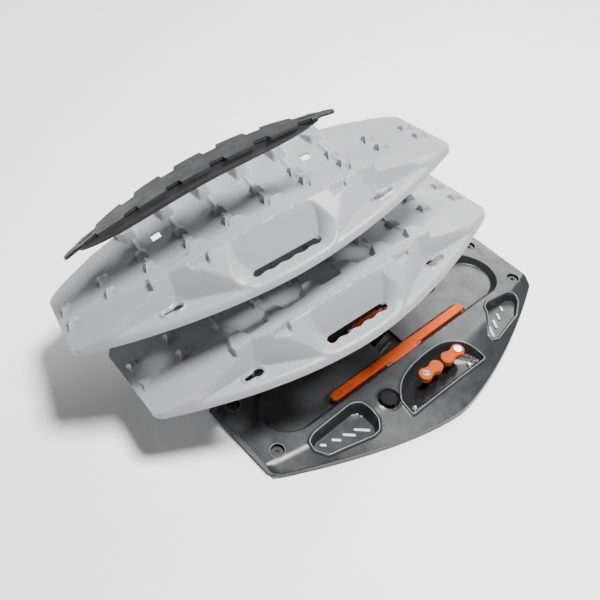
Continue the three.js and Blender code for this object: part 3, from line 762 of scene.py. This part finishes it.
def dress(node, material, bevel=0.0, segments=2):
    """A CAD node kept as it is, with its edges eased and its own finish."""
    thing = frame["nodes"][node]
    thing.data.materials.clear()
    thing.data.materials.append(material)
    if bevel:
        modifier = thing.modifiers.new("ease", "BEVEL")
        modifier.width = bevel * MM
        modifier.segments = segments
        modifier.limit_method = "ANGLE"
        modifier.angle_limit = math.radians(40)


def knob_outline(x):
    """Two round lobes joined by a narrower waist."""
    half, lobe, lean = KNOB["half"], KNOB["lobe"], math.pi * KNOB["lean"]
    right = circle(x + half, KNOB_Y, lobe, 28, -math.pi + lean, math.tau - 2 * lean)
    left = circle(x - half, KNOB_Y, lobe, 28, lean, math.tau - 2 * lean)

    def waist(start, end, level):
        return [((1 - t) ** 2 * start[0] + 2 * t * (1 - t) * x + t * t * end[0],
                 (1 - t) ** 2 * start[1] + 2 * t * (1 - t) * level + t * t * end[1])
                for t in [i / 8 for i in range(1, 8)]]

    upper = waist(right[-1], left[0], KNOB_Y + KNOB["waist"])
    lower = waist(left[-1], right[0], KNOB_Y - KNOB["waist"])
    return right + upper + left + lower


def add_knob(index, label):
    x = KNOB_XS[index]
    key_x = x + (-KNOB["half"] if index == 0 else KNOB["half"])
    knob = prism_object(f"Lock_knob_{label}", knob_outline(x), KNOB["low"], KNOB["high"], KNOB_MAT,
                        bevel=2.2, segments=4)
    cut_outline(knob, circle(key_x, KNOB_Y, KEY_HOLE, 32), KEY_HOLE_FLOOR, 60)
    cut_outline(knob, circle(x, KNOB_Y, SPIGOT_HOLE, 24), 20, SPIGOT_TOP)
    knob.data.set_sharp_from_angle(angle=math.radians(40))
    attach(knob, f"knob_{label}")
    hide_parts(f"knob_{label}")


def add_knobs():
    for index, label in enumerate(("left", "right")):
        add_knob(index, label)
        dress(f"knob_post_{label}", BLACK_MAT, 0.5)
        dress(f"lock_cylinder_{label}", CHROME_MAT, 0.5, 3)
        dress(f"panel_screw_{label}", CHROME_MAT, 0.3)


def add_panel():
    panel = prism_object("Lock_panel", bay_outline(PANEL_INSET), BAY_FLOOR, BAY_FLOOR + PANEL_THICK,
                         GLOSS_MAT, bevel=0.8, segments=3)
    for x in KNOB_XS:
        cut_outline(panel, circle(x, KNOB_Y, POST_HOLE, 32), 0, 40)
    for x in SCREW_XS:
        cut_outline(panel, circle(x, SCREW_Y, SCREW_HOLE, 20), 0, 41)
    panel.data.set_sharp_from_angle(angle=math.radians(40))
    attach(panel, "base")
    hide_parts("lock_panel")


def dress_small_pieces():
    for corner in ("near_left", "near_right", "far_left", "far_right"):
        dress(f"corner_washer_{corner}", RUBBER_MAT, 0.3)
        dress(f"corner_bolt_{corner}", BLACK_MAT, 0.6, 3)
    dress("port_neck", BLACK_MAT, 0.4)
    dress("port_seal", RUBBER_MAT, 0.4)
    dress("port_cap", GLOSS_MAT, 1.4, 3)


def bar_outline(side):
    """A long rail with a step at its middle, toward the edge of the base, for its hinge."""
    y = side * BAR_Y
    root = y + side * BAR_HALF_WIDTH
    tip = root + side * BAR_STEP
    rail = slot_outline(0, y, BAR["half"], BAR_HALF_WIDTH, 16)
    split = len(rail) // 2
    hub = [(BAR["step_half"], root), (BAR["step_flat"], tip),
           (-BAR["step_flat"], tip), (-BAR["step_half"], root)]
    return rail[:split] + hub + rail[split:] if side > 0 else rail + hub[::-1]


def add_bar(side, label):
    bar = prism_object(f"Latch_bar_{label}", bar_outline(side), BAR["low"], BAR["high"], ORANGE_MAT,
                       bevel=1.8, segments=4)
    pin_y = side * (BAR_Y + BAR_HALF_WIDTH + BAR_STEP - PIN_INSET)
    pin_z = (BAR["low"] + BAR["high"]) / 2
    bore = prism_object("cutter", circle(0, 0, PIN_HOLE, 24), -60, 60, ORANGE_MAT)
    place = Matrix.Translation((0, pin_y * MM, pin_z * MM))
    bore.data.transform(place @ Matrix.Rotation(math.pi / 2, 4, "Y"))
    cut(bar, bore)
    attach(bar, f"bar_{label}")
    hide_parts(f"latch_bar_{label}")


def add_bars():
    for side, label in ((-1, "near"), (1, "far")):
        add_bar(side, label)
        dress(f"hinge_pin_{label}", CHROME_MAT, 0.4)


# ---- top plate --------------------------------------------------------------------------------
TOP_HALF, TOP_HALF_WIDTH, TOP_ARCH, TOP_THICK = 240, 51, 29.5, 5
LENS_POWER, LENS_TIP = 2.4, 0.2
PLATE_SINK = 0.4  # keeps the smooth arch under the faceted one
TIP_SLOT = {"x": 196, "half": 13, "radius": 2.5}
NOTCH = {"depth": 22, "share": 0.42, "wide": 19, "narrow": 11, "beyond": 20}
BELLY = {"half": 212, "half_width": 33, "drop": 6.5, "depth": 24, "fade": 222.6, "lens": 229}


def plate_half_width(x):
    return TOP_HALF_WIDTH * np.clip(1 - np.abs(x / TOP_HALF) ** LENS_POWER, LENS_TIP, None)


def arch(x):
    return -TOP_ARCH * (x / TOP_HALF) ** 2 - PLATE_SINK


def lens_sheet(name, half, half_width, top, bottom, nu, nv, material):
    """A closed sheet with pointed ends: top and bottom give heights at x and a share of its width."""
    xs = packed_columns(half, nu, 0.97)
    edge = half - np.abs(xs)
    widths = half_width(xs) * np.clip(quarter_round(edge, 12), 0.15, 1)
    rows = np.linspace(-1, 1, nv)[None, :] * widths[:, None]
    grid_x = np.repeat(xs[:, None], nv, axis=1)
    share = np.repeat(np.linspace(-1, 1, nv)[None, :], nu, axis=0)
    return sheet_object(name, xs, rows, top(grid_x, share), bottom(grid_x, share), material)


def cut_tip_slots(thing, low):
    for x in (-TIP_SLOT["x"], TIP_SLOT["x"]):
        cut_outline(thing, slot_outline(x, 0, TIP_SLOT["half"], TIP_SLOT["radius"], 8), low, 41)


def add_plate():
    def drop(share):
        return 1 - quarter_round(1 - np.abs(share), 0.12)

    plate = lens_sheet("Top_plate", TOP_HALF, plate_half_width,
                       lambda x, share: arch(x) - 1.2 * drop(share),
                       lambda x, share: arch(x) - TOP_THICK + 0.4 * drop(share), 160, 40, PLATE_MAT)
    for side in (-1, 1):
        for x in TOOTH_STATIONS:
            edge = float(plate_half_width(np.array(x)))
            root = side * (edge - min(NOTCH["depth"], edge * NOTCH["share"]))
            mouth = side * (edge + NOTCH["beyond"])
            notch = [(x - NOTCH["wide"], mouth), (x - NOTCH["narrow"], root),
                     (x + NOTCH["narrow"], root), (x + NOTCH["wide"], mouth)]
            cut_outline(plate, notch, -90, 40)
    cut_tip_slots(plate, -90)
    plate.data.set_sharp_from_angle(angle=math.radians(36))
    plate.data.transform(PLACE["plate"])
    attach(plate, "plate")
    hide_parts("top_plate")


def belly_half_width(x):
    return BELLY["half_width"] * np.clip(1 - (x / BELLY["lens"]) ** 2, 0.1, None)


def belly_top(x, _share):
    return arch(x) - BELLY["drop"]


def belly_bottom(x, share):
    depth = BELLY["depth"] * np.clip(1 - (x / BELLY["fade"]) ** 4, 0.12, None)
    round_side = 0.35 + 0.65 * quarter_round(1 - np.abs(share), 0.7)
    return belly_top(x, share) - depth * round_side


def add_belly():
    belly = lens_sheet("Top_plate_belly", BELLY["half"], belly_half_width, belly_top, belly_bottom, 120, 30,
                       BLACK_MAT)
    cut_tip_slots(belly, -120)
    belly.data.set_sharp_from_angle(angle=math.radians(40))
    belly.data.transform(PLACE["plate"])
    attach(belly, "plate")
    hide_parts("top_plate_belly")


# ---- camera, floor and light ------------------------------------------------------------------
CAMERA_PLACE = (-0.87694, -0.57702, 1.26530)
CAMERA_RIGHT = (0.73895, -0.66901, 0.07990)
CAMERA_BACK = (-0.48833, -0.45009, 0.74764)
CAMERA_LENS, CAMERA_SENSOR = 50.2, 36.0
FLOOR_HALF = 12.0
WORLD_STRENGTH = 0.2


def add_camera():
    camera = bpy.data.objects.new("Camera", bpy.data.cameras.new("Camera"))
    bpy.context.scene.collection.objects.link(camera)
    right = Vector(CAMERA_RIGHT).normalized()
    back = Vector(CAMERA_BACK)
    back = (back - right * back.dot(right)).normalized()
    up = back.cross(right)
    turn = Matrix((right, up, back)).transposed().to_4x4()
    camera.matrix_world = Matrix.Translation(CAMERA_PLACE) @ turn
    camera.data.lens = CAMERA_LENS
    camera.data.sensor_width = CAMERA_SENSOR
    camera.data.clip_end = 50
    bpy.context.scene.camera = camera


def add_light(name, place, target, size, power):
    data = bpy.data.lights.new(name, "AREA")
    data.shape = "DISK"
    data.size = size
    data.energy = power
    light = bpy.data.objects.new(name, data)
    light.location = place
    aim = Vector(target) - Vector(place)
    light.rotation_euler = aim.to_track_quat("-Z", "Y").to_euler()
    bpy.context.scene.collection.objects.link(light)


def add_stage():
    floor_mat = shader("floor_white", (0.97, 0.97, 0.972), 0.9, spread=0.01, grain=80, bump=0.0)
    verts = [(-FLOOR_HALF, -FLOOR_HALF, 0), (FLOOR_HALF, -FLOOR_HALF, 0), (FLOOR_HALF, FLOOR_HALF, 0),
             (-FLOOR_HALF, FLOOR_HALF, 0)]
    floor = mesh_object("Floor", verts, [(0, 1, 2, 3)], floor_mat, smooth=False)
    world = bpy.data.worlds.new("Studio")
    world.use_nodes = True
    background = world.node_tree.nodes["Background"]
    background.inputs["Color"].default_value = (1, 1, 1, 1)
    background.inputs["Strength"].default_value = WORLD_STRENGTH
    bpy.context.scene.world = world
    add_light("Key", (0.2, -0.3, 2.85), (0, 0, 0.2), 0.8, 235)
    add_light("Back", (2.3, 1.1, 1.9), (0.1, 0, 0.1), 1.5, 70)


# ---- the whole kit ----------------------------------------------------------------------------
add_boards()
build_tray()
add_rim_highlight_lines()
add_pocket_slot_light()
add_backing()
add_knobs()
add_panel()
dress_small_pieces()
add_bars()
add_plate()
add_belly()
add_camera()
add_stage()
